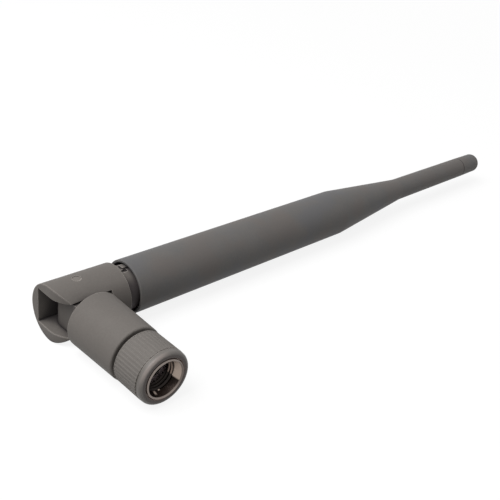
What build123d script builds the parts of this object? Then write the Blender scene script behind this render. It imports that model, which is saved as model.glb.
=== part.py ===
from build123d import *
import os
from math import radians, sin

# Tilt and swivel whip antenna with a reverse-polarity coaxial plug, folded at a right angle.
# The plug's axis is +Y and the nut's thread starts at the origin, the mast points along +X
# and the tilt hinge turns about Z.  All sizes are in millimetres; heights are measured
# from the start of the thread and distances along the mast from the tilt axis.

# Coupling nut and its thread
thread_r = 3.2                # wall of the threaded bore, at the thread's root
thread_length = 2.35
thread_relief = 0.2           # undercut behind the thread, on the radius
thread_relief_length = 1.2
lead_in_step = 0.5            # the conical mouth opens from the thread by this
lead_in_length = 1.6
nose_break = 0.1              # chamfer of the nut's face
nut_wall = 0.8                # from the thread's root to the flats
nut_nose_step = 0.05          # the round nose is this much slimmer than the flats
nut_nose_length = 0.7
nut_ring_offset = 1.95        # from the thread's end to the ring that holds the nut
nut_tail_length = 1.4         # from that ring to the nut's rear face
nut_running = 0.07            # radial play of the nut on the stem

# Moulded grip over the nut
grip_wall = 1.34              # over the nut's flats
grip_mouth_step = 0.06
grip_rib_height = 0.06
grip_rib_r = 0.5
grip_rib_count = 46
nut_proud = 0.15              # the nut's face stands this far in front of the sleeve
grip_rear_overhang = 0.6
lip_outer_share = 0.6         # roundings of the front lip, of its width
lip_inner_share = 0.25
lip_draft = 0.12              # what the lip's radius loses towards the front
grip_lip_length = 1.3
grip_groove_width = 0.2
grip_groove_depth = 0.16
grip_rear_band = 0.35
grip_rear_break = 0.2
grip_hex_play = 0.02

# Plug body
contact_ring_gap = 0.1        # from the thread's end to the outer contact's face
contact_ring_r = 2.295
contact_ring_bore_r = 2.065
contact_ring_length = 1.0
stem_r = 2.68
journal_r = 3.5
journal_gap = 0.1             # from the nut's rear face to the journal
journal_length = 7.7
shell_step_inset = 0.1
insulator_tail_r = 1.3
insulator_tail_length = 1.8
crimp_sleeve_r = 1.45
crimp_sleeve_length = 2.6
ferrule_wall = 0.38
ferrule_length = 2.2

# Retaining rings: the small one holds the nut, the large one holds the barrel
snap_ring_width = 0.45
swivel_ring_offset = 5.0      # from the journal's foot
swivel_ring_width = 0.7
ring_side_play = 0.05
snap_ring_seat = 0.4          # how deep each ring sits in the turned groove
swivel_ring_seat = 0.6
snap_ring_hold = 0.2          # how far each stands out into the part that it holds
swivel_ring_hold = 0.35
ring_gap_angle = 40

# Insulator and contacts
insulator_recess = 0.15
contact_r = 0.635
contact_bore_r = 0.47
contact_bore_depth = 2.5
contact_slot = 0.2
contact_slot_depth = 2.0
contact_inset = 0.2           # its rear end lies this far inside the insulator's tail
solder_cup_r = 0.22
solder_cup_depth = 1.5
close_fit = 0.02              # play between pieces of one assembly

# Fork over the tongue
hinge_height = 26.1           # of the tilt axis
fork_near_r = 5.95            # radius of the moulding at its rounded end
fork_draft = 0.15             # what that radius loses up to the shoulder
fork_end_trim = 0.03          # the flat end and the ears lie this far inside that radius
fork_shoulder = 9.0
fork_shoulder_chamfer = 0.15
ear_share = 0.378             # thickness of an ear, of the fork's radius
slot_corner_round = 1.2
ear_edge_round = 0.15
neck_end = 22.0
neck_wall = 1.2
neck_bore_start = 12.0
neck_lead = 0.5
neck_play = 0.16              # between the neck and the radome, taken up by the crush ribs
crush_rib_count = 6
crush_rib_height = 0.13
crush_rib_r = 0.4
crush_rib_start = 14.6
crush_rib_length = 6.4
key_angle = 86                # from +Y towards +Z
key_width = 1.3
key_height = 0.32
key_start = 10.3
key_length = 2.4
key_notch = 0.7
key_notch_angle = 14          # from the key to the notch beside it

# Barrel, with the tongue of the knuckle on top
tongue_share = 0.563          # half width of the tongue, of the fork's radius
tongue_side_play = 0.2
tongue_back_play = 0.45       # to the slot's closed side
tongue_end_play = 1.65        # to the slot's floor
shoulder_play = 0.13          # between the fork's ears and the barrel's shoulder
barrel_trim = 0.1             # the barrel's rim lies this far inside the fork's radius
barrel_taper = 0.3
barrel_lift = 1.15            # from the journal's foot to the barrel's bottom
barrel_bottom_round = 0.4
barrel_rim_round = 0.15
barrel_head_room = 0.8        # over the journal
barrel_cavity_r = 2.6
barrel_cavity_depth = 2.6
swivel_running = 0.05

# Hinge pins
pin_r = 0.85
pin_running = 0.05
pin_press = 0.01
pin_inner_end = 1.4
pin_recess = 0.1

# Coax and its way through the knuckle
coax_r = 0.9
coax_insulation_r = 0.42
coax_core_r = 0.16
coax_play = 0.2
coax_bend_r = 4.5
channel_depth = 4.9           # below the tilt axis
channel_corner_round = 2.4

# Radome and its end plug
radome_start = 11.3
radome_step = 0.14            # the radome is this much slimmer than the fork's shoulder
radome_mouth_wall = 0.53
radome_mouth_depth = 2.4
radome_wall = 0.9
radome_draft = 0.17
radome_straight_end = 73.8
radome_cone_end = 99.8
radome_tip_base_r = 2.79
radome_tip_draft = 0.14
radome_seam = 129.2
radome_tip_wall = 0.95
cone_blend_r = 4.0
rim_break = 0.1
seam_break = 0.15             # chamfer on either side of the end plug's seam
cap_length = 8.1
cap_draft = 0.11
cap_round = 1.2
cap_plug_length = 3.2

# Sleeve dipole and its supports
sleeve_start = 24.5
sleeve_wall = 0.2
sleeve_length = 22.0
sleeve_end_wall = 0.5
plug_length = 2.5
sleeve_share = 0.525          # radius of the sleeve, of the radome's bore
spacer_play = 0.1
spacer_length = 2.0
lower_spacer_inset = 5.5
mid_spacer_offset = 8.0       # from the feed point
upper_spacer_share = 0.145    # its place between the cone's end and the seam
bead_r = 1.2
bead_length = 2.0
shrink_wall = 0.25
shrink_length = 5.0
wire_r = 0.45
wire_end_gap = 4.6            # from the wire's end to the end plug
coil_offset = 6.5             # from the middle spacer
coil_turns = 4.5
coil_pitch = 2.0
coil_inset = 0.05
former_play = 0.05

# Oversize of cuts that run out of a piece, and reach for picking edges by their place
run_out = 30
pick = 0.01

# Heights along the plug, from the thread's start
nut_face = -lead_in_length
snap_ring_height = thread_length + nut_ring_offset
nut_end = snap_ring_height + nut_tail_length
nut_length = nut_end - nut_face
lip_front = nut_face + nut_proud
grip_end = nut_end + grip_rear_overhang
reference_plane = thread_length + contact_ring_gap
stem_start = reference_plane + contact_ring_length
journal_start = nut_end + journal_gap
journal_end = journal_start + journal_length
shell_bore_step = journal_start + shell_step_inset
insulator_tail_end = shell_bore_step + insulator_tail_length
contact_end = insulator_tail_end - contact_inset
swivel_ring_height = journal_start + swivel_ring_offset
barrel_bottom = journal_start + barrel_lift
barrel_bore_end = journal_end + barrel_head_room

# Radii about the plug's axis
nut_flats = 2 * (thread_r + nut_wall)
nut_nose_r = nut_flats / 2 - nut_nose_step
mouth_r = thread_r + lead_in_step
nut_bore_r = stem_r + nut_running
snap_ring_r = nut_bore_r + snap_ring_hold
grip_mouth_r = nut_flats / 2 + grip_mouth_step
grip_valley_r = nut_flats / 2 + grip_wall
grip_ridge_r = grip_valley_r + grip_rib_height
journal_bore_r = journal_r + swivel_running
swivel_ring_r = journal_bore_r + swivel_ring_hold

# Fork, tongue and barrel fit one another
fork_far_r = fork_near_r - fork_draft
fork_end = fork_near_r - fork_end_trim
fork_slot_half = fork_near_r * (1 - ear_share)
tongue_half_thickness = fork_slot_half - tongue_side_play
tongue_half_width = fork_near_r * tongue_share
fork_back_wall = tongue_half_width + tongue_back_play
fork_slot_depth = tongue_half_width + tongue_end_play
shoulder_drop = fork_end + shoulder_play
barrel_shoulder = hinge_height - shoulder_drop
barrel_top_r = fork_near_r - barrel_trim
barrel_bottom_r = barrel_top_r - barrel_taper
coax_hole_r = coax_r + coax_play
hinge_plane = Plane(origin=(0, hinge_height, 0), x_dir=(1, 0, 0), z_dir=(0, 0, 1))
mast_axis = Axis((0, hinge_height, 0), (1, 0, 0))

# Radome over the neck, and what it holds
radome_base_r = fork_far_r - radome_step
radome_straight_r = radome_base_r - radome_draft
radome_tip_r = radome_tip_base_r - radome_tip_draft
neck_r = radome_base_r - radome_wall - neck_play
neck_bore_r = neck_r - neck_wall
sleeve_r = (radome_base_r - radome_wall) * sleeve_share
coil_r = sleeve_r - coil_inset
feed_point = sleeve_start + sleeve_length
lower_spacer_start = sleeve_start + lower_spacer_inset
mid_spacer_start = feed_point + mid_spacer_offset
coil_start = mid_spacer_start + coil_offset
upper_spacer_start = radome_cone_end + upper_spacer_share * (radome_seam - radome_cone_end)
wire_end = radome_seam - cap_plug_length - wire_end_gap
os.makedirs("parts", exist_ok=True)


def across_plug(height):
    """Plane square to the plug's axis, facing +Y, at a height above the thread's start."""
    return Plane(origin=(0, height, 0), x_dir=(1, 0, 0), z_dir=(0, 1, 0))


def across_mast(distance):
    """Plane square to the mast, facing the tip, at a distance from the tilt axis."""
    return Plane(origin=(distance, hinge_height, 0), x_dir=(0, 1, 0), z_dir=(1, 0, 0))


def save(piece, name):
    """Label a finished piece and write it to its own file."""
    piece.part.label = name
    export_step(piece.part, f"parts/{name}.step")


# Plug body: outer contact ring, stem for the nut, journal for the barrel and crimp sleeve
with BuildPart() as connector_shell:
    with BuildSketch(across_plug(reference_plane)):
        Circle(contact_ring_r)
    extrude(amount=stem_start - reference_plane)
    with BuildSketch(across_plug(stem_start)):
        Circle(stem_r)
    extrude(amount=journal_start - stem_start)
    with BuildSketch(across_plug(journal_start)):
        Circle(journal_r)
    extrude(amount=journal_end - journal_start)
    with BuildSketch(across_plug(journal_end)):
        Circle(crimp_sleeve_r)
    extrude(amount=crimp_sleeve_length)
    with BuildSketch(across_plug(reference_plane)):
        Circle(contact_ring_bore_r)
    extrude(amount=shell_bore_step - reference_plane, mode=Mode.SUBTRACT)
    with BuildSketch(across_plug(shell_bore_step)):
        Circle(insulator_tail_r + close_fit)
    extrude(amount=insulator_tail_end - shell_bore_step, mode=Mode.SUBTRACT)
    with BuildSketch(across_plug(insulator_tail_end)):
        Circle(coax_insulation_r + 2 * close_fit)
    extrude(amount=journal_end - insulator_tail_end, mode=Mode.SUBTRACT)
    with BuildSketch(across_plug(journal_end)):
        Circle(coax_r + close_fit)
    extrude(amount=crimp_sleeve_length, mode=Mode.SUBTRACT)
    for groove_height, groove_width, groove_r, held_r in (
        (snap_ring_height, snap_ring_width, stem_r - snap_ring_seat, nut_bore_r),
        (swivel_ring_height, swivel_ring_width, journal_r - swivel_ring_seat, journal_bore_r),
    ):
        with BuildSketch(across_plug(groove_height - groove_width / 2 - ring_side_play)):
            Circle(held_r)
            Circle(groove_r, mode=Mode.SUBTRACT)
        extrude(amount=groove_width + 2 * ring_side_play, mode=Mode.SUBTRACT)
save(connector_shell, "connector_shell")

# Insulator: one turned rod with a tail, bored for the centre contact
with BuildPart() as insulator:
    with BuildSketch(across_plug(reference_plane + insulator_recess)):
        Circle(contact_ring_bore_r - close_fit)
        Circle(contact_r + close_fit, mode=Mode.SUBTRACT)
    extrude(amount=shell_bore_step - reference_plane - insulator_recess)
    with BuildSketch(across_plug(shell_bore_step)):
        Circle(insulator_tail_r)
        Circle(contact_r + close_fit, mode=Mode.SUBTRACT)
    extrude(amount=insulator_tail_end - shell_bore_step)
save(insulator, "insulator")

# Centre contact: a slotted socket with a solder cup behind
with BuildPart() as centre_contact:
    contact_start = reference_plane + insulator_recess
    with BuildSketch(across_plug(contact_start)):
        Circle(contact_r)
    extrude(amount=contact_end - contact_start)
    with BuildSketch(across_plug(contact_start)):
        Circle(contact_bore_r)
    extrude(amount=contact_bore_depth, mode=Mode.SUBTRACT)
    with BuildSketch(across_plug(contact_end)):
        Circle(solder_cup_r)
    extrude(amount=-solder_cup_depth, mode=Mode.SUBTRACT)
    with BuildSketch(across_plug(contact_start)):
        Rectangle(2 * contact_ring_bore_r, contact_slot)
        Rectangle(contact_slot, 2 * contact_ring_bore_r)
    extrude(amount=contact_slot_depth, mode=Mode.SUBTRACT)
save(centre_contact, "centre_contact")

# Ferrule crimped over the sleeve that holds the coax
with BuildPart() as crimp_ferrule:
    with BuildSketch(across_plug(journal_end)):
        Circle(crimp_sleeve_r + close_fit + ferrule_wall)
        Circle(crimp_sleeve_r + close_fit, mode=Mode.SUBTRACT)
    extrude(amount=ferrule_length)
save(crimp_ferrule, "crimp_ferrule")


# Split spring rings: one keeps the nut on the stem, one keeps the barrel on the journal
for ring_name, ring_height, ring_width, groove_r, ring_r in (
    ("snap_ring", snap_ring_height, snap_ring_width, stem_r - snap_ring_seat, snap_ring_r),
    ("swivel_ring", swivel_ring_height, swivel_ring_width, journal_r - swivel_ring_seat, swivel_ring_r),
):
    with BuildPart() as spring_ring:
        with BuildSketch(across_plug(ring_height - ring_width / 2)):
            Circle(ring_r)
            Circle(groove_r + ring_side_play, mode=Mode.SUBTRACT)
            with Locations((ring_r, 0)):
                Rectangle(ring_r, 2 * ring_r * sin(radians(ring_gap_angle / 2)), mode=Mode.SUBTRACT)
        extrude(amount=ring_width)
    save(spring_ring, ring_name)

# Coupling nut: hexagon with a round nose, a conical mouth, the thread, and a bore that turns on the stem
with BuildPart() as coupling_nut:
    with BuildSketch(across_plug(nut_face)):
        Circle(nut_nose_r)
    extrude(amount=nut_nose_length)
    with BuildSketch(across_plug(nut_face + nut_nose_length)):
        RegularPolygon(nut_flats / 2, 6, major_radius=False)
    extrude(amount=nut_length - nut_nose_length)
    with BuildSketch(across_plug(nut_face)):
        Circle(nut_bore_r)
    extrude(amount=nut_length, mode=Mode.SUBTRACT)
    with BuildSketch(Plane.XY):
        with BuildLine():
            Polyline(
                (0, nut_face),
                (mouth_r, nut_face),
                (thread_r, 0),
                (thread_r, thread_length),
                (0, thread_length),
                close=True,
            )
        make_face()
    revolve(axis=Axis.Y, mode=Mode.SUBTRACT)
    with BuildSketch(across_plug(thread_length)):
        Circle(thread_r + thread_relief)
    extrude(amount=thread_relief_length, mode=Mode.SUBTRACT)
    with BuildSketch(across_plug(snap_ring_height - snap_ring_width / 2 - ring_side_play)):
        Circle(snap_ring_r + ring_side_play)
    extrude(amount=snap_ring_width + 2 * ring_side_play, mode=Mode.SUBTRACT)
    face_edges = coupling_nut.edges().filter_by_position(Axis.Y, nut_face - pick, nut_face + pick)
    chamfer(face_edges.sort_by(SortBy.RADIUS)[-1], length=nose_break)
save(coupling_nut, "coupling_nut")

# Grip: a moulded sleeve with fine lengthwise ribs, a plain rolled front lip and a hexagonal pocket
with BuildPart() as nut_grip:
    rib_start = lip_front + grip_lip_length + grip_groove_width
    rib_end = grip_end - grip_rear_band
    lip_width = grip_ridge_r - lip_draft - grip_mouth_r
    with BuildSketch(Plane.XY):
        with BuildLine():
            front = Polyline(
                (grip_mouth_r, 0), (grip_mouth_r, lip_front), (grip_ridge_r - lip_draft, lip_front)
            )
            Polyline(
                front @ 1,
                (grip_ridge_r, rib_start - grip_groove_width),
                (grip_ridge_r - grip_groove_depth, rib_start - grip_groove_width),
                (grip_ridge_r - grip_groove_depth, rib_start),
                (grip_valley_r, rib_start),
                (grip_valley_r, rib_end),
                (grip_ridge_r, rib_end),
                (grip_ridge_r, grip_end - grip_rear_break),
                (grip_ridge_r - grip_rear_break, grip_end),
                (grip_mouth_r, grip_end),
                front @ 0,
            )
        make_face()
        outer_corners = vertices().filter_by_position(Axis.Y, lip_front - pick, lip_front + pick)
        fillet(outer_corners.sort_by(Axis.X)[-1], radius=lip_width * lip_outer_share)
        inner_corners = vertices().filter_by_position(Axis.Y, lip_front - pick, lip_front + pick)
        fillet(inner_corners.sort_by(Axis.X)[0], radius=lip_width * lip_inner_share)
    revolve(axis=Axis.Y)
    with BuildSketch(across_plug(rib_start)):
        with PolarLocations(grip_ridge_r - grip_rib_r, grip_rib_count):
            Circle(grip_rib_r)
    extrude(amount=rib_end - rib_start)
    with BuildSketch(across_plug(nut_face + nut_nose_length)):
        RegularPolygon(nut_flats / 2 + grip_hex_play, 6, major_radius=False)
    extrude(amount=nut_length - nut_nose_length, mode=Mode.SUBTRACT)
save(nut_grip, "nut_grip")

# Barrel: a tapered moulding that turns on the journal and carries the tongue of the knuckle
with BuildPart() as barrel:
    with BuildSketch(Plane.XY):
        with BuildLine():
            Polyline(
                (0, barrel_bottom),
                (barrel_bottom_r, barrel_bottom),
                (barrel_top_r, barrel_shoulder),
                (0, barrel_shoulder),
                close=True,
            )
        make_face()
        bottom_corners = vertices().filter_by_position(Axis.Y, barrel_bottom - pick, barrel_bottom + pick)
        fillet(bottom_corners.sort_by(Axis.X)[-1], radius=barrel_bottom_round)
        top_corners = vertices().filter_by_position(Axis.Y, barrel_shoulder - pick, barrel_shoulder + pick)
        fillet(top_corners.sort_by(Axis.X)[-1], radius=barrel_rim_round)
    revolve(axis=Axis.Y)
    with BuildSketch(hinge_plane):
        Circle(tongue_half_width)
        with Locations((0, -shoulder_drop / 2)):
            Rectangle(2 * tongue_half_width, shoulder_drop)
    extrude(amount=tongue_half_thickness, both=True)
    with BuildSketch(across_plug(barrel_bottom)):
        Circle(journal_bore_r)
    extrude(amount=barrel_bore_end - barrel_bottom, mode=Mode.SUBTRACT)
    with BuildSketch(across_plug(swivel_ring_height - swivel_ring_width / 2 - ring_side_play)):
        Circle(swivel_ring_r + ring_side_play)
    extrude(amount=swivel_ring_width + 2 * ring_side_play, mode=Mode.SUBTRACT)
    with BuildSketch(across_plug(barrel_bore_end)):
        Circle(barrel_cavity_r)
    extrude(amount=barrel_cavity_depth, mode=Mode.SUBTRACT)
    with BuildSketch(across_plug(barrel_bore_end)):
        Circle(coax_hole_r)
    extrude(amount=hinge_height - channel_depth - barrel_bore_end + coax_hole_r, mode=Mode.SUBTRACT)
    with BuildSketch(hinge_plane):
        with Locations((-coax_hole_r, -channel_depth)):
            Rectangle(run_out, run_out, align=(Align.MIN, Align.MIN))
        channel_corner = vertices().sort_by(Axis.Y)[:2].sort_by(Axis.X)[-1]
        fillet(channel_corner, radius=channel_corner_round)
    extrude(amount=coax_hole_r, both=True, mode=Mode.SUBTRACT)
    with BuildSketch(hinge_plane):
        Circle(pin_r + pin_running)
    extrude(amount=run_out, both=True, mode=Mode.SUBTRACT)
save(barrel, "barrel")

# Fork: ears, closed back wall and the neck that the radome is pressed on
with BuildPart() as fork:
    with BuildSketch(hinge_plane):
        with BuildLine():
            Polyline(
                (-fork_end, 0),
                (-fork_end, fork_near_r),
                (fork_shoulder - fork_shoulder_chamfer, fork_far_r),
                (fork_shoulder, fork_far_r - fork_shoulder_chamfer),
                (fork_shoulder, neck_r),
                (neck_end - neck_lead, neck_r),
                (neck_end, neck_r - neck_lead),
                (neck_end, 0),
                close=True,
            )
        make_face()
    revolve(axis=mast_axis)
    with BuildSketch(across_mast(crush_rib_start)):
        with PolarLocations(neck_r + crush_rib_height - crush_rib_r, crush_rib_count):
            Circle(crush_rib_r)
    extrude(amount=crush_rib_length)
    with BuildSketch(across_mast(key_start)):
        with PolarLocations(neck_r, 1, start_angle=key_angle):
            Rectangle(2 * key_height, key_width)
    extrude(amount=key_length)
    with BuildSketch(across_mast(fork_shoulder)):
        with PolarLocations(neck_r, 1, start_angle=key_angle + key_notch_angle):
            Rectangle(2 * key_height, key_notch)
    extrude(amount=key_start - fork_shoulder + key_notch, mode=Mode.SUBTRACT)
    with BuildSketch(hinge_plane):
        with BuildLine():
            ear_round = CenterArc((0, 0), fork_end, 180, 90)
            Polyline(
                ear_round @ 1,
                (0, -run_out),
                (run_out, -run_out),
                (run_out, run_out),
                (-fork_end, run_out),
                ear_round @ 0,
            )
        make_face()
    extrude(amount=run_out, both=True, mode=Mode.INTERSECT)
    with BuildSketch(hinge_plane):
        with Locations((fork_slot_depth, fork_back_wall)):
            Rectangle(run_out, run_out, align=(Align.MAX, Align.MAX))
        slot_corner = vertices().sort_by(Axis.Y)[2:].sort_by(Axis.X)[-1]
        fillet(slot_corner, radius=slot_corner_round)
    extrude(amount=fork_slot_half, both=True, mode=Mode.SUBTRACT)
    with BuildSketch(across_mast(0)):
        Circle(coax_hole_r)
    extrude(amount=run_out, mode=Mode.SUBTRACT)
    with BuildSketch(across_mast(neck_bore_start)):
        Circle(neck_bore_r)
    extrude(amount=run_out, mode=Mode.SUBTRACT)
    ear_edges = fork.edges().filter_by_position(Axis.X, -fork_end - pick, 1)
    ear_arcs = ear_edges.filter_by(GeomType.LINE, reverse=True)
    slot_lines = ear_edges.filter_by(GeomType.LINE).filter_by_position(
        Axis.X, -fork_end - pick, pick - fork_end
    )
    slot_lines = slot_lines.filter_by_position(Axis.Y, hinge_height + pick, hinge_height + fork_near_r)
    fillet(ear_arcs + slot_lines, radius=ear_edge_round)
    with BuildSketch(hinge_plane):
        Circle(pin_r + pin_press)
    extrude(amount=run_out, both=True, mode=Mode.SUBTRACT)
save(fork, "fork")

# Stub pins: one in each ear, its head dressed just under the fork's surface, its foot in the tongue
for pin_name, side in (("hinge_pin_upper", 1), ("hinge_pin_lower", -1)):
    with BuildPart() as hinge_pin:
        with BuildSketch(hinge_plane.offset(side * pin_inner_end)):
            Circle(pin_r)
        extrude(amount=side * (fork_near_r - pin_inner_end))
        pin_top_r = fork_near_r + (fork_far_r - fork_near_r) * fork_end / (fork_end + fork_shoulder)
        with BuildSketch(across_mast(-fork_end)):
            Circle(pin_top_r - pin_recess)
        extrude(amount=2 * fork_end, mode=Mode.INTERSECT)
    save(hinge_pin, pin_name)

# Radome: one moulded tube, tapered, with a cone that narrows to the slim tip
with BuildPart() as radome:
    radome_mouth_r = radome_base_r - radome_mouth_wall
    with BuildSketch(hinge_plane):
        with BuildLine():
            Polyline(
                (radome_start, radome_mouth_r + rim_break),
                (radome_start, radome_base_r - rim_break),
                (radome_start + rim_break, radome_base_r),
                (radome_straight_end, radome_straight_r),
                (radome_cone_end, radome_tip_base_r),
                (radome_seam - seam_break, radome_tip_r),
                (radome_seam, radome_tip_r - seam_break),
                (radome_seam, radome_tip_r - radome_tip_wall),
                (radome_cone_end - radome_wall, radome_tip_base_r - radome_tip_wall),
                (radome_straight_end - radome_wall, radome_straight_r - radome_wall),
                (radome_start + radome_mouth_depth + radome_wall, radome_base_r - radome_wall),
                (radome_start + radome_mouth_depth, radome_mouth_r),
                (radome_start + rim_break, radome_mouth_r),
                close=True,
            )
        make_face()
        cone_corners = vertices().filter_by_position(
            Axis.X, radome_straight_end - radome_wall - pick, radome_cone_end + pick
        )
        fillet(cone_corners, radius=cone_blend_r)
    revolve(axis=mast_axis)
save(radome, "radome")

# End plug of the radome: a slightly tapered nose with a round end, and a spigot in the tube
with BuildPart() as tip_cap:
    with BuildSketch(hinge_plane):
        with BuildLine():
            Polyline(
                (radome_seam - cap_plug_length, 0),
                (radome_seam - cap_plug_length, radome_tip_r - radome_tip_wall - close_fit),
                (radome_seam, radome_tip_r - radome_tip_wall - close_fit),
                (radome_seam, radome_tip_r - seam_break),
                (radome_seam + seam_break, radome_tip_r),
                (radome_seam + cap_length, radome_tip_r - cap_draft),
                (radome_seam + cap_length, 0),
                close=True,
            )
        make_face()
        nose_corner = vertices().sort_by(Axis.X)[-2:].sort_by(Axis.Y)[-1]
        fillet(nose_corner, radius=cap_round)
    revolve(axis=mast_axis)
save(tip_cap, "tip_cap")

# Coax: from the plug's solder cup, round the bend at the knuckle and up to the feed point
with BuildPart() as coax_cable:
    with BuildLine() as coax_route:
        plug_run = Line((0, journal_end + close_fit, 0), (0, hinge_height - coax_bend_r, 0))
        bend = CenterArc((coax_bend_r, hinge_height - coax_bend_r), coax_bend_r, 180, -90)
        mast_run = Line((coax_bend_r, hinge_height, 0), (feed_point, hinge_height, 0))
    with BuildSketch(across_plug(journal_end + close_fit)):
        Circle(coax_r)
    sweep(path=coax_route.line)
    with BuildSketch(across_plug(journal_end + close_fit)):
        Circle(coax_insulation_r)
    extrude(amount=insulator_tail_end - journal_end)
    with BuildSketch(across_plug(insulator_tail_end + close_fit)):
        Circle(coax_core_r)
    extrude(amount=contact_end - solder_cup_depth - insulator_tail_end)
save(coax_cable, "coax_cable")

# Lower half of the dipole: a brass cup soldered to the coax's braid
with BuildPart() as radiating_sleeve:
    with BuildSketch(across_mast(sleeve_start)):
        Circle(sleeve_r)
    extrude(amount=sleeve_length)
    with BuildSketch(across_mast(sleeve_start)):
        Circle(sleeve_r - sleeve_wall)
    extrude(amount=sleeve_length - sleeve_end_wall, mode=Mode.SUBTRACT)
    with BuildSketch(across_mast(sleeve_start)):
        Circle(coax_r + close_fit)
    extrude(amount=sleeve_length, mode=Mode.SUBTRACT)
save(radiating_sleeve, "radiating_sleeve")

# Plug that centres the coax in the sleeve's open end
with BuildPart() as sleeve_plug:
    with BuildSketch(across_mast(sleeve_start)):
        Circle(sleeve_r - sleeve_wall - close_fit)
        Circle(coax_r + close_fit, mode=Mode.SUBTRACT)
    extrude(amount=plug_length)
save(sleeve_plug, "sleeve_plug")

# Bead over the bare end of the coax, between the sleeve and the radiator
with BuildPart() as feed_bead:
    with BuildSketch(across_mast(feed_point)):
        Circle(bead_r)
    extrude(amount=bead_length)
save(feed_bead, "feed_bead")

# Upper half of the dipole: one wire wound into a phasing coil part of the way up
with BuildPart() as radiator:
    coil_length = coil_turns * coil_pitch
    coil_foot = (coil_start, hinge_height, 0)
    with BuildLine() as coil_route:
        Helix(coil_pitch, coil_length, coil_r, center=coil_foot, direction=(1, 0, 0))
    with BuildSketch(Plane(origin=coil_route.line @ 0, z_dir=coil_route.line % 0)):
        Circle(wire_r)
    sweep(path=coil_route.line, is_frenet=True)
    for coil_point in (coil_route.line @ 0, coil_route.line @ 1):
        spoke = Vector(0, coil_point.Y - hinge_height, coil_point.Z)
        hub = Vector(coil_point.X, hinge_height, 0)
        with BuildSketch(Plane(origin=hub, z_dir=spoke)):
            Circle(wire_r)
        extrude(amount=coil_r)
        with Locations(hub, coil_point):
            Sphere(wire_r)
    with BuildSketch(across_mast(feed_point + bead_length)):
        Circle(wire_r)
    extrude(amount=coil_start - feed_point - bead_length)
    with BuildSketch(across_mast(coil_start + coil_length)):
        Circle(wire_r)
    extrude(amount=wire_end - coil_start - coil_length)
save(radiator, "radiator")

# Rod that the phasing coil is wound on
with BuildPart() as coil_former:
    with BuildSketch(across_mast(coil_start + wire_r + former_play)):
        Circle(coil_r - wire_r - former_play)
    extrude(amount=coil_length - 2 * wire_r - 2 * former_play)
save(coil_former, "coil_former")

# Shrink tube over the bead and the foot of the radiator
with BuildPart() as feed_shrink:
    with BuildSketch(across_mast(feed_point)):
        Circle(bead_r + close_fit + shrink_wall)
        Circle(bead_r + close_fit, mode=Mode.SUBTRACT)
    extrude(amount=shrink_length)
save(feed_shrink, "feed_shrink")


def radome_bore_r(distance):
    """Inner radius of the radome's long tube at a distance from the tilt axis."""
    share = (distance - radome_start) / (radome_straight_end - radome_start)
    return radome_base_r - radome_wall + share * (radome_straight_r - radome_base_r)


# Foam rings that keep the dipole in the middle of the radome
tip_bore_r = radome_tip_r - radome_tip_wall
for spacer_name, spacer_start, hole_r, rim_r in (
    ("lower_spacer", lower_spacer_start, sleeve_r, radome_bore_r(lower_spacer_start + spacer_length)),
    ("mid_spacer", mid_spacer_start, wire_r, radome_bore_r(mid_spacer_start + spacer_length)),
    ("upper_spacer", upper_spacer_start, wire_r, tip_bore_r),
):
    with BuildPart() as spacer:
        with BuildSketch(across_mast(spacer_start)):
            Circle(rim_r - spacer_play)
            Circle(hole_r + close_fit, mode=Mode.SUBTRACT)
        extrude(amount=spacer_length)
    save(spacer, spacer_name)
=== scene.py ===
import math

import bmesh
import bpy
from mathutils import Matrix, Vector


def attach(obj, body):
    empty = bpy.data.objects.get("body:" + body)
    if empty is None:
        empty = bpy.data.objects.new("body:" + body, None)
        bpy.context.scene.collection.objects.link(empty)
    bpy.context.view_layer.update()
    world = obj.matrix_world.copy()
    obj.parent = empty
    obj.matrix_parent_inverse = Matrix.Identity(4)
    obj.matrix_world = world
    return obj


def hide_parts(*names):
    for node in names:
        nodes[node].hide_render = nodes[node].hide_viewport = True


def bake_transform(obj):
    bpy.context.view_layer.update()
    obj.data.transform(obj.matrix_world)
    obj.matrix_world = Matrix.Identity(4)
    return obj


# The tilt and swivel antenna comes from the CAD solids and is dressed here. The plug's axis is +Y
# with the start of the nut's thread at the origin, the mast points along +X and the hinge turns
# about Z. Sizes are in millimetres.
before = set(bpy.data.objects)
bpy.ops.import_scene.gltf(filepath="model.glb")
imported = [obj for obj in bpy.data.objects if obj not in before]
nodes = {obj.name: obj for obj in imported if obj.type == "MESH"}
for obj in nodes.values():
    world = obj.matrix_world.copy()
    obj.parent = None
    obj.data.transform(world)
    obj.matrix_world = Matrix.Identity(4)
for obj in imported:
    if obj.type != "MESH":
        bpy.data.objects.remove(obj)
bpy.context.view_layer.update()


# The camera stands above and in front of the plug, rolled a little, as in the photograph.
# Its place, its axes and its lens were fitted to the antenna's outline.
def put_in_scene(name, data):
    """A new object for a mesh, a lamp or a camera."""
    made = bpy.data.objects.new(name, data)
    bpy.context.scene.collection.objects.link(made)
    return made


mm = 0.001
camera_place = Vector((-73.747, -85.527, 89.868))
camera_right = Vector((0.72205, -0.68226, 0.11475)).normalized()
camera_up = Vector((0.26607, 0.42695, 0.86425)).normalized()
camera_data = bpy.data.cameras.new("camera")
camera_data.sensor_width = 36.0
camera_data.lens = 59.36
camera_data.clip_start = 5 * mm
camera_turn = Matrix((camera_right, camera_up, camera_right.cross(camera_up))).transposed()
camera = put_in_scene("camera", camera_data)
camera.matrix_world = Matrix.Translation(camera_place * mm) @ camera_turn.to_4x4()
bpy.context.scene.camera = camera


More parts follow.
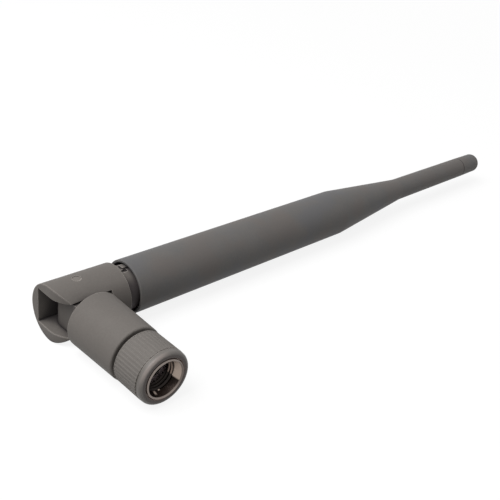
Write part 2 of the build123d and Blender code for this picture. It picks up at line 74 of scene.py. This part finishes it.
# The floor is a plain pale sheet just under the fork's ears, the lowest point of the antenna.
# Seen straight or in a mirror it is nearly white with a soft shadow; what it throws back on the
# plastic is a dull grey, as from a table top in a dim room.
class Wire:
    """A socket in one material's nodes; arithmetic on it adds Math nodes to that material."""

    def __init__(self, tree, socket=None):
        self.tree = tree
        self.socket = socket

    def node(self, kind, settings, inputs, output=0):
        """Add one node: its settings first, then the value or the link of each socket."""
        made = self.tree.nodes.new("ShaderNode" + kind)
        for name, value in settings.items():
            setattr(made, name, value)
        for name, value in inputs.items():
            self.feed(made.inputs[name], value)
        return Wire(self.tree, made.outputs[output])

    def feed(self, socket, value):
        """Link a wire to a socket, or write a plain value on it; a colour is three numbers."""
        if isinstance(value, Wire):
            self.tree.links.new(value.socket, socket)
        elif socket.type == "RGBA":
            socket.default_value = (*value, 1.0)
        else:
            socket.default_value = value

    def math(self, operation, other=0.0):
        return self.node("Math", {"operation": operation}, {0: self, 1: other})

    def __add__(self, other):
        return self.math("ADD", other)

    def __sub__(self, other):
        return self.math("SUBTRACT", other)

    def __rsub__(self, other):
        return self.node("Math", {"operation": "SUBTRACT"}, {0: other, 1: self})

    def __mul__(self, other):
        return self.math("MULTIPLY", other)

    def __truediv__(self, other):
        return self.math("DIVIDE", other)

    def __rtruediv__(self, other):
        return self.node("Math", {"operation": "DIVIDE"}, {0: other, 1: self})

    __radd__ = __add__
    __rmul__ = __mul__


def seen_straight(wire):
    """1 for rays from the camera and for those in a mirror or through glass."""
    from_camera, mirrored, through_glass = (
        wire.node("LightPath", {}, {}, f"Is {ray} Ray") for ray in ("Camera", "Glossy", "Transmission")
    )
    return from_camera.math("MAXIMUM", mirrored).math("MAXIMUM", through_glass)


floor_height = -5.97
floor_half = 3000.0
white_from, white_to = 120.0, 600.0
floor_form = bmesh.new()
bmesh.ops.create_grid(floor_form, x_segments=1, y_segments=1, size=floor_half * mm)
bmesh.ops.translate(floor_form, verts=floor_form.verts, vec=(0, 0, floor_height * mm))
floor_mesh = bpy.data.meshes.new("floor")
floor_form.to_mesh(floor_mesh)
floor_form.free()
floor_look = bpy.data.materials.new("pale_floor")
floor_look.use_nodes = True
floor_nodes = floor_look.node_tree.nodes
floor_nodes.remove(floor_nodes["Principled BSDF"])
wire = Wire(floor_look.node_tree)
shadow_catcher = wire.node("BsdfDiffuse", {}, {"Color": (0.19, 0.19, 0.19)})
near_glow = wire.node("Emission", {}, {"Color": (1, 1, 1), "Strength": 0.86})
near_floor = wire.node("AddShader", {}, {0: shadow_catcher, 1: near_glow})
far_floor = wire.node("Emission", {}, {"Color": (1, 1, 1), "Strength": 1.0})
place = wire.node("TexCoord", {}, {}, "Object")
from_middle = wire.node("VectorMath", {"operation": "LENGTH"}, {0: place}, "Value")
far_off = wire.node(
    "MapRange", {}, {"Value": from_middle, "From Min": white_from * mm, "From Max": white_to * mm}
)
pale_floor = wire.node("MixShader", {}, {0: far_off, 1: near_floor, 2: far_floor})
dull_floor = wire.node("BsdfDiffuse", {}, {"Color": (0.32, 0.32, 0.32)})
whole_floor = wire.node("MixShader", {}, {0: seen_straight(wire), 1: dull_floor, 2: pale_floor})
wire.feed(floor_nodes["Material Output"].inputs["Surface"], whole_floor)
floor_mesh.materials.append(floor_look)
put_in_scene("floor", floor_mesh)


# Soft studio light: the room is a dim grey that looks white behind the antenna, and one large
# panel hangs above it, behind the knuckle on the left.
def mix_colours(share, first, second):
    """The first colour where the share is 0 and the second where it is 1."""
    return share.node("Mix", {"data_type": "RGBA"}, {0: share, 6: first, 7: second}, 2)


room_grey = (0.34, 0.34, 0.34)
room = bpy.data.worlds.new("room")
room.use_nodes = True
wire = Wire(room.node_tree)
room_colour = mix_colours(seen_straight(wire), room_grey, (1, 1, 1))
wire.feed(room.node_tree.nodes["Background"].inputs["Color"], room_colour)
bpy.context.scene.world = room
bpy.context.scene.view_settings.view_transform = "Standard"
panel_size = 400.0
panel_distance = 600.0
panel_watts = 2.68
panel_aim = Vector((35, 18, 0))
panel_side = Vector((-0.6, 0.13, 1.0)).normalized()
panel = bpy.data.lights.new("key_panel", "AREA")
panel.size = panel_size * mm
panel.energy = panel_watts
lamp = put_in_scene("key_panel", panel)
lamp.location = (panel_aim + panel_side * panel_distance) * mm
lamp.rotation_mode = "QUATERNION"
lamp.rotation_quaternion = panel_side.to_track_quat("Z", "Y")


# The plug's body is turned from brass bar in one piece and nickel plated: the outer contact, the
# stem for the nut, the journal for the barrel and the crimp sleeve. The ferrule over the coax's
# braid is a plated brass tube of the same finish.
def start_look(name):
    """A new material, and the place of a point on the object that wears it."""
    look = bpy.data.materials.new(name)
    look.use_nodes = True
    return look, Wire(look.node_tree).node("TexCoord", {}, {}, "Object")


def set_shader(look, inputs):
    """Link or write some sockets of a material's shader."""
    shader = look.node_tree.nodes["Principled BSDF"]
    for name, value in inputs.items():
        Wire(look.node_tree).feed(shader.inputs[name], value)


def noise(place, per_metre, detail, roughness=0.5):
    """Soft random values round one half, as coarse or fine as the number per metre."""
    inputs = {"Vector": place, "Scale": per_metre, "Detail": detail, "Roughness": roughness}
    return place.node("TexNoise", {}, inputs)


def dress(look, *names):
    """Give CAD nodes their finish."""
    for name in names:
        node = nodes[name]
        if not node.material_slots:
            node.data.materials.append(look)
        for slot in node.material_slots:
            slot.material = look


def turned_metal(name, light, dark, shine, lathe_axis="Y"):
    """Metal with the fine rings of the lathe along one axis, and faint stains."""
    look, place = start_look(name)
    along = place.node("SeparateXYZ", {}, {"Vector": place}, lathe_axis)
    rings = place.node("TexNoise", {"noise_dimensions": "1D"}, {"W": along, "Scale": 16000.0, "Detail": 2.0})
    stains = noise(place, 650.0, 4.0, 0.65)
    scratches = noise(place, 9000.0, 2.0, 0.6)
    height = rings * 0.7 + scratches * 0.3
    inputs = {
        "Base Color": mix_colours(stains, dark, light),
        "Roughness": shine + stains * 0.16 + rings * 0.08 - 0.12,
        "Metallic": 1.0,
        "Normal": place.node("Bump", {}, {"Height": height, "Strength": 0.2, "Distance": 0.008 * mm}),
    }
    set_shader(look, inputs)
    return look


plug_nickel = turned_metal("plug_nickel", (0.34, 0.31, 0.27), (0.2, 0.18, 0.16), 0.34)
dress(plug_nickel, "connector_shell", "crimp_ferrule")


# The insulator is turned from a dark filled plastic rod and pressed into the outer contact. Its
# face lies a little behind the contact's rim.
def turned_plastic(name, light, dark, shine):
    """Smooth plastic, clouded a little in colour."""
    look, place = start_look(name)
    grain = noise(place, 5200.0, 2.0, 0.6)
    inputs = {
        "Base Color": mix_colours(noise(place, 420.0, 3.0, 0.6), dark, light),
        "Roughness": shine + grain * 0.14 - 0.07,
        "Normal": place.node("Bump", {}, {"Height": grain, "Strength": 0.2, "Distance": 0.012 * mm}),
    }
    set_shader(look, inputs)
    return look


dark_insulator = turned_plastic("dark_insulator", (0.05, 0.047, 0.05), (0.03, 0.028, 0.03), 0.5)
dress(dark_insulator, "insulator")

# The centre contact is a slotted brass socket under gold plate. It is pressed into the insulator
# from behind, and the coax's core is soldered into its tail.
gold_brass = turned_metal("gold_brass", (0.9, 0.66, 0.28), (0.72, 0.5, 0.2), 0.26)
dress(gold_brass, "centre_contact")

# Two split rings of spring steel wire snap into turned grooves: the small one keeps the nut on
# the stem, the large one keeps the barrel on the journal.
spring_steel = turned_metal("spring_steel", (0.55, 0.55, 0.57), (0.4, 0.4, 0.42), 0.3)
dress(spring_steel, "snap_ring", "swivel_ring")


# The coupling nut is a hexagon of plated brass with a round nose. Its conical mouth has a painted
# highlight on one side, two painted glints and painted shade below and inside, with painted light
# deeper in the bore; its front face has painted shade on the right. The thread behind it is cut with
# 36 turns to the inch: a ridge with a narrow flat crest that runs out at both ends, built as a mesh
# in the nut's bore.
def beside_plug(look):
    """Where a point lies across, along and above the plug's axis and how far from it, in mm."""
    place = Wire(look.node_tree).node("TexCoord", {}, {}, "Object")
    place = place.node("VectorMath", {"operation": "SCALE"}, {0: place, "Scale": 1 / mm})
    across, along, above = (place.node("SeparateXYZ", {}, {"Vector": place}, axis) for axis in "XYZ")
    return across, along, above, (across * across + above * above).math("SQRT")


def ramp(value, low, high):
    """A smooth step from 0 at one value to 1 at another."""
    settings = {"interpolation_type": "SMOOTHSTEP"}
    return value.node("MapRange", settings, {"Value": value, "From Min": low, "From Max": high})


def between(value, start, full_from, full_to, end):
    """1 in a band of values, fading out to both sides of it."""
    return ramp(value, start, full_from) * ramp(value, end, full_to)


def towards(across, above, from_axis, degrees, half_width):
    """1 within some degrees of one direction about the plug, where 0 is +X and 90 is up."""
    turn = math.radians(degrees)
    agreement = (across * math.cos(turn) + above * math.sin(turn)) / from_axis
    soft, full = (math.cos(math.radians(half_width + shift)) for shift in (3.0, -3.0))
    return ramp(agreement, soft, full)


def lay_over(look, share, colour):
    """Lay another colour over a material's own, by a share that varies over the surface."""
    own = look.node_tree.nodes["Principled BSDF"].inputs["Base Color"].links[0].from_socket
    set_shader(look, {"Base Color": mix_colours(share, Wire(look.node_tree, own), colour)})


def lean_out(look, share):
    """Lean the shading normal out of the mouth, as on an edge that is rounded more."""
    facing = share.node("NewGeometry", {}, {}, "Normal")
    outward = share.node("CombineXYZ", {}, {"Y": share * -0.8})
    settings = {"vector_type": "VECTOR", "convert_from": "OBJECT", "convert_to": "WORLD"}
    lean = share.node("VectorTransform", settings, {"Vector": outward})
    leaning = share.node("VectorMath", {}, {0: facing, 1: lean})
    leaning = share.node("VectorMath", {"operation": "NORMALIZE"}, {0: leaning})
    share.feed(look.node_tree.nodes["Bump"].inputs["Normal"], leaning)


def skin(name, sections, finishes, looks, crease_degrees):
    """A closed piece over a row of like sections; a band has the finish of the section after it."""
    form = bmesh.new()
    rings = [[form.verts.new(point * mm) for point in section] for section in sections]
    form.faces.new(rings[0]).material_index = finishes[0]
    for last, ring, finish in zip(rings, rings[1:], finishes[1:]):
        for k in range(len(ring)):
            face = form.faces.new((last[k - 1], last[k], ring[k], ring[k - 1]))
            face.material_index = finish
    form.faces.new(reversed(rings[-1])).material_index = finishes[-1]
    bmesh.ops.recalc_face_normals(form, faces=form.faces)
    mesh = bpy.data.meshes.new(name)
    form.to_mesh(mesh)
    form.free()
    mesh.shade_smooth()
    mesh.set_sharp_from_angle(angle=math.radians(crease_degrees))
    for look in looks:
        mesh.materials.append(look)
    return put_in_scene(name, mesh)


mouth_shade_nickel = (0.04, 0.029, 0.025)
deep_bore_light_nickel = (0.5, 0.45, 0.46)
highlight_glint_nickel = (0.32, 0.262, 0.222)
face_shade_nickel = (0.08, 0.065, 0.058)
nut_nickel = turned_metal("nut_nickel", (0.26, 0.222, 0.2), (0.2, 0.172, 0.154), 0.4)
across, along, above, from_axis = beside_plug(nut_nickel)
on_face = ramp(along, -1.3, -1.42)
in_mouth = ramp(from_axis, 3.67, 3.62) * ramp(along, -1.42, -1.3)
# Painted highlight on the mouth's upper right side, and two painted glints lower down: a streak and a speck.
bright_side = towards(across, above, from_axis, 33, 60) * ramp(along, 0.45, 0.15)
streak = towards(across, above, from_axis, -112, 4) * between(along, -1.0, -0.5, -0.3, 0.6) * 0.8
speck = towards(across, above, from_axis, -92, 2) * between(along, -0.2, 0.0, 0.1, 0.3)
lit = bright_side.math("MAXIMUM", streak).math("MAXIMUM", speck) * in_mouth
# Painted shade: inside the mouth and the bore behind it the nickel is laid over with near black.
lay_over(nut_nickel, in_mouth * 0.93, mouth_shade_nickel)
# Painted light: deeper in the bore the nickel is laid over with a much lighter colour again.
lay_over(nut_nickel, ramp(along, 1.5, 2.2), deep_bore_light_nickel)
lay_over(nut_nickel, lit, highlight_glint_nickel)
# Painted shade on the right half of the nut's front face.
lay_over(nut_nickel, ramp(across / from_axis, 0.55, 0.95) * on_face * 0.6, face_shade_nickel)
lean_out(nut_nickel, lit.math("MAXIMUM", on_face * 0.8))
dress(nut_nickel, "coupling_nut")

# The thread's nickel is a near black copy of the nut's, as painted shade inside the bore. Its near flanks on
# the upper right get a painted highlight.
shaded_thread_nickel = turned_metal("shaded_thread_nickel", (0.03, 0.025, 0.023), (0.018, 0.015, 0.014), 0.4)
lit_flank = (0.19, 0.145, 0.12)
across, along, above, from_axis = beside_plug(shaded_thread_nickel)
normal = across.node("TexCoord", {}, {}, "Normal")
facing_back = across.node("SeparateXYZ", {}, {"Vector": normal}, "Y")
near_flank = ramp(facing_back, -0.4, -0.7) * ramp(from_axis, 3.12, 3.04) * ramp(along, 2.8, 0.8)
lay_over(shaded_thread_nickel, near_flank * towards(across, above, from_axis, 33, 57), lit_flank)
thread_pitch = 25.4 / 36
thread_root_r = 3.22
thread_crest_r = 2.89
thread_start = 0.1
thread_end = 2.12
start_degrees = 70
run_out_turns = 0.42
flank_half = 0.44
crest_half = 0.05
steps_per_turn = 72
thread_steps = round((thread_end - thread_start) / thread_pitch * steps_per_turn)
thread_sections = []
for step in range(thread_steps + 1):
    turn = math.radians(start_degrees) + 2 * math.pi * step / steps_per_turn
    height = thread_start + thread_pitch * step / steps_per_turn
    near_end = min(step, thread_steps - step) / (run_out_turns * steps_per_turn)
    fullness = math.sin(min(near_end, 1.0) * math.pi / 2)
    crest_r = thread_root_r + (thread_crest_r - thread_root_r) * fullness
    profile = (
        (thread_root_r, -flank_half),
        (crest_r, -crest_half),
        (crest_r, crest_half),
        (thread_root_r, flank_half),
    )
    section = []
    for r, offset in profile:
        section.append(Vector((r * math.cos(turn), height + offset * thread_pitch, r * math.sin(turn))))
    thread_sections.append(section)
nut_thread = skin("nut_thread", thread_sections, [0] * len(thread_sections), [shaded_thread_nickel], 25)
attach(nut_thread, "nut")


# The grip is moulded over the nut from a filled grey plastic with a fine eroded grain. Its front
# lip is worn smoother. It carries painted shade next to the nut and below the narrow groove behind
# it, and painted highlights on the lip's crest, on its inner edge and in the groove's upper side.
def moulded_plastic(name, light, dark, grain=1.0, shine=0.6, edge_round=0.22, edge_highlight_share=0.85):
    """Grained moulding compound; its edges are soft, a little glossier and carry a painted highlight."""
    look, place = start_look(name)
    clouds = noise(place, 150.0, 4.0, 0.6)
    specks = noise(place, 2400.0, 3.0, 0.7)
    pits = noise(place, 7000.0, 2.0, 0.6)
    soft_edge = place.node("Bevel", {"samples": 6}, {"Radius": edge_round * mm})
    straight = place.node("NewGeometry", {}, {}, "Normal")
    agreement = place.node("VectorMath", {"operation": "DOT_PRODUCT"}, {0: soft_edge, 1: straight}, "Value")
    near_open = place.node("AmbientOcclusion", {"samples": 6}, {"Distance": 0.5 * mm}, "AO")
    edge_highlight = ((1 - agreement) * 12.0).math("MINIMUM", 1.0) * ramp(near_open, 0.65, 0.9)
    mottle = (clouds * 0.5 + specks * 0.5 - 0.5) * 3.2 + 0.5
    relief = {
        "Height": specks * 0.6 + pits * 0.4,
        "Strength": 0.3 * grain,
        "Distance": 0.025 * mm,
        "Normal": soft_edge,
    }
    inputs = {
        "Base Color": mix_colours(mottle, dark, light),
        "Roughness": shine + specks * 0.12 + clouds * 0.1 - edge_highlight * 0.08 - 0.11,
        "Specular IOR Level": 0.2,
        "Normal": place.node("Bump", {}, relief),
    }
    set_shader(look, inputs)
    # Painted highlight along the open edges, where the soft edge turns.
    lay_over(look, edge_highlight * edge_highlight_share, tuple(channel * 3.0 for channel in light))
    return look


lip_shade = (0.062, 0.044, 0.04)
crest_highlight = (0.32, 0.275, 0.254)
lit_seat_edge = (0.3, 0.22, 0.19)
lit_groove = (0.32, 0.29, 0.27)
lower_groove_shade = (0.085, 0.076, 0.064)
grip_plastic = moulded_plastic("grip_plastic", (0.196, 0.18, 0.166), (0.17, 0.156, 0.144), edge_round=0.1)
across, along, above, from_axis = beside_plug(grip_plastic)
on_front = ramp(along, -0.2, -0.45)
crest = between(from_axis, 4.85, 5.1, 5.2, 5.6) * ramp(along, -0.6, -0.9)
highlight_side = ramp((above * 0.8 - across * 0.6) / from_axis, 0.65, 1.0) * 0.75 + 0.04
upper_side = ramp(above / from_axis, 0.3, 0.8)
in_groove = between(along, -0.2, -0.14, 0.04, 0.1)
beside_groove = between(along, -0.45, -0.2, 0.04, 0.15)
# Painted shade on the lip's front next to the nut.
lay_over(grip_plastic, ramp(from_axis, 5.0, 4.6) * on_front * 0.8, lip_shade)
# Painted highlight on the lip's crest, strongest on its upper left.
lay_over(grip_plastic, crest * highlight_side, crest_highlight)
# Painted highlight: a light band on the lip's innermost edge, beside the nut.
lay_over(grip_plastic, ramp(from_axis, 4.25, 4.15) * on_front, lit_seat_edge)
# Painted light in the groove on the upper side, and painted shade beside the groove on the lower side.
lay_over(grip_plastic, in_groove * upper_side * 0.8, lit_groove)
lay_over(grip_plastic, beside_groove * (1 - upper_side) * 0.6, lower_groove_shade)
set_shader(grip_plastic, {"Coat Weight": on_front * 0.35, "Coat Roughness": 0.3})
dress(grip_plastic, "nut_grip")


# The barrel is moulded in the same compound as the grip. It turns on the plug's journal and
# carries the tongue of the knuckle, which has painted shade where the fork's ears close over it.
def paint_corner_shade(look, high, low, share, where=1.0):
    """Paint shade on a plastic where other surfaces close it in: in deep recesses and tight creases."""
    wire = Wire(look.node_tree)
    openness = wire.node("AmbientOcclusion", {"samples": 8}, {"Distance": 4 * mm}, "AO")
    crease = wire.node("AmbientOcclusion", {"samples": 8}, {"Distance": 0.6 * mm}, "AO")
    lay_over(look, ramp(openness, high, low) * share * where, (0.05, 0.044, 0.047))
    lay_over(look, ramp(crease, 0.9, 0.6) * 0.85, (0.04, 0.036, 0.036))


tongue_foot = 20.0
tongue_shade = (0.04, 0.036, 0.035)
knuckle_light, knuckle_dark = (0.186, 0.17, 0.156), (0.16, 0.146, 0.134)
barrel_plastic = moulded_plastic("barrel_plastic", knuckle_light, knuckle_dark)
_, along, _, _ = beside_plug(barrel_plastic)
on_tongue = ramp(along, tongue_foot, tongue_foot + 0.4)
# Painted shade on the tongue, where the fork's ears close over it, and in its recesses.
lay_over(barrel_plastic, on_tongue * 0.3, tongue_shade)
paint_corner_shade(barrel_plastic, 0.9, 0.4, 0.7, on_tongue)
dress(barrel_plastic, "barrel")

# The coax is one length of thin cable with a brown jacket, crimped to the plug, bent through the
# knuckle and stripped again at the dipole.
coax_jacket = turned_plastic("coax_jacket", (0.26, 0.12, 0.055), (0.2, 0.09, 0.04), 0.3)
white_plastic = turned_plastic("white_plastic", (0.84, 0.84, 0.81), (0.76, 0.76, 0.73), 0.45)
copper_wire = turned_metal("copper_wire", (0.9, 0.54, 0.36), (0.7, 0.38, 0.24), 0.3, "X")
coax_looks = [coax_jacket, white_plastic, copper_wire]
# Each layer of the cable is the number of its finish and its radius.
jacket, dielectric, core = (0, 0.9), (1, 0.42), (2, 0.16)
core_foot = 6.02
dielectric_foot = 7.72
jacket_foot = 13.52
hinge_height = 26.1
bend_r = 4.5
bend_steps = 28
bend_foot = hinge_height - bend_r
feed_point = 46.5
round_sides = 24
stations = [
    (0, core_foot, 0, core),
    (0, dielectric_foot, 0, core),
    (0, dielectric_foot, 0, dielectric),
    (0, jacket_foot, 0, dielectric),
    (0, jacket_foot, 0, jacket),
    (0, (jacket_foot + bend_foot) / 2, 0, jacket),
]
for step in range(bend_steps + 1):
    turn = math.pi / 2 * step / bend_steps
    x, y = bend_r * (1 - math.cos(turn)), bend_foot + bend_r * math.sin(turn)
    stations.append((x, y, turn, jacket))
for share in (0.25, 0.5, 0.75, 1.0):
    stations.append((bend_r + (feed_point - bend_r) * share, hinge_height, math.pi / 2, jacket))
coax_sections = []
for x, y, turn, (finish, radius) in stations:
    side = Vector((math.cos(turn), -math.sin(turn), 0)) * radius
    rise = Vector((0, 0, 1)) * radius
    angles = [2 * math.pi * k / round_sides for k in range(round_sides)]
    coax_sections.append(
        [Vector((x, y, 0)) + side * math.cos(angle) + rise * math.sin(angle) for angle in angles]
    )
coax_finishes = [finish for x, y, turn, (finish, radius) in stations]
coax = skin("coax", coax_sections, coax_finishes, coax_looks, 50)
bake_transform(coax)
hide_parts("coax_cable")

# The fork, moulded as the barrel is, closes over the tongue with two ears and a back wall, and
# its neck holds the radome. A stub pin through each ear is the hinge; its head is dressed flush
# with the ear and polished by it.
neck_shade = (0.055, 0.046, 0.055)
barrel_shade_on_fork = (0.1, 0.088, 0.08)
fork_plastic = moulded_plastic("fork_plastic", knuckle_light, knuckle_dark, edge_highlight_share=1.0)
# Painted shade in the fork's slot and creases.
paint_corner_shade(fork_plastic, 0.72, 0.35, 0.85)
across, along, above, _ = beside_plug(fork_plastic)
# Painted shade on the lower part of the neck.
lay_over(fork_plastic, ramp(across, 8.95, 9.1) * ramp(above, 4.0, 2.6), neck_shade)
# Painted shade on the side of the fork beside the barrel.
beside_barrel = ramp(along, 25.5, 24.3) * ramp(across, 3.0, 5.0) * ramp(above, 5.0, 3.0)
lay_over(fork_plastic, beside_barrel * 0.5, barrel_shade_on_fork)
dress(fork_plastic, "fork")
pin_plastic = moulded_plastic("pin_plastic", (0.24, 0.22, 0.2), (0.21, 0.19, 0.176))
dress(pin_plastic, "hinge_pin_upper", "hinge_pin_lower")

# Lower half of the dipole: a drawn brass cup soldered to the braid, with a white plug that
# centres the coax in its open end. Above it a white bead and black shrink tube cover the joint.
sleeve_brass = turned_metal("sleeve_brass", (0.8, 0.62, 0.32), (0.62, 0.46, 0.22), 0.32, "X")
dress(sleeve_brass, "radiating_sleeve")
dress(white_plastic, "sleeve_plug", "feed_bead", "coil_former")
shrink_tube = turned_plastic("shrink_tube", (0.035, 0.035, 0.037), (0.02, 0.02, 0.022), 0.42)
dress(shrink_tube, "feed_shrink")

# Upper half of the dipole: one bare copper wire, soldered to the coax's core, straight but for a
# phasing coil that is wound on a white rod.
dress(copper_wire, "radiator")


# Three rings punched from grey foam sheet are pushed over the dipole. They keep it in the middle
# of the radome.
def cut_foam(name, light, dark):
    """Open-celled foam: small round cells with darker floors."""
    look, place = start_look(name)
    cells = place.node("TexVoronoi", {}, {"Vector": place, "Scale": 3200.0, "Randomness": 1.0}, "Distance")
    relief = {"Height": cells, "Strength": 0.6, "Distance": 0.1 * mm}
    inputs = {
        "Base Color": mix_colours(cells, light, dark),
        "Roughness": 0.85 + cells * 0.1,
        "Normal": place.node("Bump", {"invert": True}, relief),
    }
    set_shader(look, inputs)
    return look


dress(cut_foam("foam", (0.2, 0.2, 0.22), (0.09, 0.09, 0.1)), "lower_spacer", "mid_spacer", "upper_spacer")

# The radome is one moulded tube pressed over the fork's neck, a shade cooler and smoother than
# the knuckle and clouded warm and cool. The end plug is cemented in its tip.
radome_light, radome_dark = (0.165, 0.154, 0.146), (0.135, 0.134, 0.132)
cool_grey, warm_grey = (0.14, 0.142, 0.152), (0.16, 0.139, 0.127)
seam_dark = (0.035, 0.033, 0.032)
radome_seam = 129.2
seam_half = 0.2
radome_plastic = moulded_plastic(
    "radome_plastic", radome_light, radome_dark, grain=0.8, shine=0.58, edge_round=0.1, edge_highlight_share=0.3
)
across, _, _, _ = beside_plug(radome_plastic)
handling = noise(across.node("TexCoord", {}, {}, "Object"), 95.0, 2.0)
lay_over(radome_plastic, ramp(handling, 0.5, 0.62) * 0.45, cool_grey)
lay_over(radome_plastic, ramp(handling, 0.5, 0.38) * 0.45, warm_grey)
from_seam = (across - radome_seam).math("ABSOLUTE")
lay_over(radome_plastic, ramp(from_seam, seam_half, 0.5 * seam_half) * 0.7, seam_dark)
dress(radome_plastic, "radome", "tip_cap")
